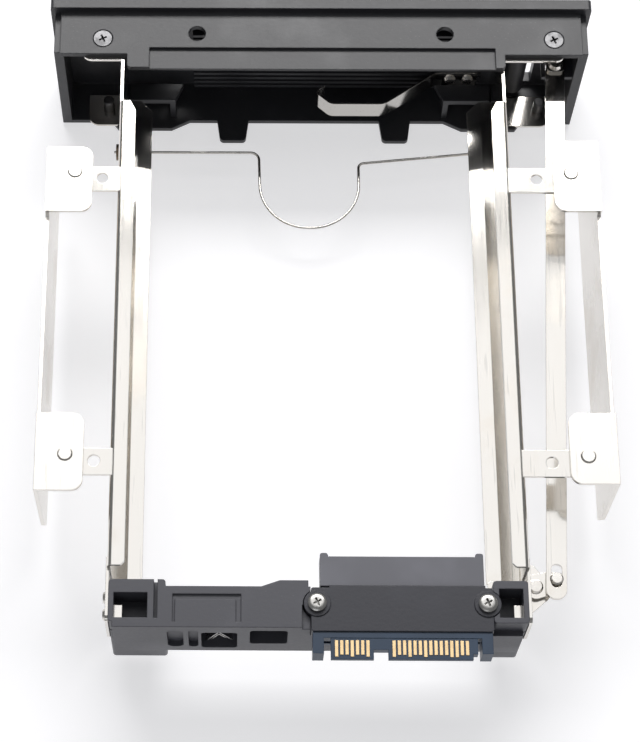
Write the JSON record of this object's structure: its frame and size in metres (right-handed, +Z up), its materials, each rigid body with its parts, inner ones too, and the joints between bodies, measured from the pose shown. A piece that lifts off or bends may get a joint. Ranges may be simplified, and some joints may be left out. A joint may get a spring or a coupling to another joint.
{
  "type": "hot swap drive cage",
  "caption": "Open-frame hot swap cage for one disk drive, with a louvred bezel door, sheet metal rails and a rear connector adapter.",
  "frame": {"origin": "middle of the footprint, on the surface that the cage lies on", "axes": "+X to the right seen from the front, +Y to the connector end, +Z up with the connector side up"},
  "size_m": [0.1474, 0.185, 0.042],
  "materials": {
    "black": "fine moulded texture, matt black",
    "steel": "bright nickel plated sheet",
    "screw": "plated screws",
    "bushing": "dark plated bushings",
    "socket": "moulded connector plastic, dark grey",
    "board": "green circuit board",
    "plug": "steel blue connector plastic",
    "gold": "gold plated contacts"
  },
  "bodies": {
    "frame": {"bezel_frame": "black", "rail_screws": "screw", "hinge_pin": "steel", "right_rail": "steel", "left_rail": "steel", "right_side_plate": "steel", "left_side_plate": "steel", "side_plate_rivets": "steel", "crossbar": "black", "strap_rivets": "steel", "adapter_cover": "black", "adapter_board": "board", "adapter_screws": "screw", "drive_socket": "socket", "plug_housing": "plug", "signal_contacts": "gold", "power_contacts": "gold", "lever_pivot": "steel", "wire_bushings": "bushing"},
    "door": {"door_panel": "black", "leaf_spring": "steel", "leaf_screws": "steel", "latch_spring": "steel"},
    "latch": {"door_latch": "black"},
    "link": {"link_bar": "steel", "cam_plate": "steel", "link_front_rivet": "steel"},
    "lever": {"eject_lever": "steel", "link_rear_rivet": "steel"},
    "bail": {"wire_bail": "steel"}
  },
  "joints": [
    {"name": "door_hinge", "type": "hinge", "parent": "frame", "child": "door", "pos_m": [-0.056, -0.08825, 0.021], "axis": [0, 0, -1], "range_deg": [0, 100]},
    {"name": "latch_slide", "type": "slide", "parent": "door", "child": "latch", "axis": [-1, 0, 0], "range_m": [0, 0.0025], "stiffness_N_per_m": 300, "springref_m": -0.002, "deforming": ["latch_spring"]},
    {"name": "link_slide", "type": "slide", "parent": "frame", "child": "link", "axis": [0, 1, 0], "range_m": [0, 0.004]},
    {"name": "lever_pivot_turn", "type": "hinge", "parent": "frame", "child": "lever", "pos_m": [-0.0526, 0.07015, 0.0256], "axis": [0, 0, -1], "range_deg": [0, 43]},
    {"name": "bail_swing", "type": "hinge", "parent": "frame", "child": "bail", "pos_m": [0, -0.06295, 0.009], "axis": [-1, 0, 0], "range_deg": [0, 14]}
  ],
  "couplings": [
    {"joint": "link_slide", "follows": "door_hinge", "m_per_rad": 0.002291},
    {"joint": "lever_pivot_turn", "follows": "door_hinge", "ratio": 0.42999}
  ]
}
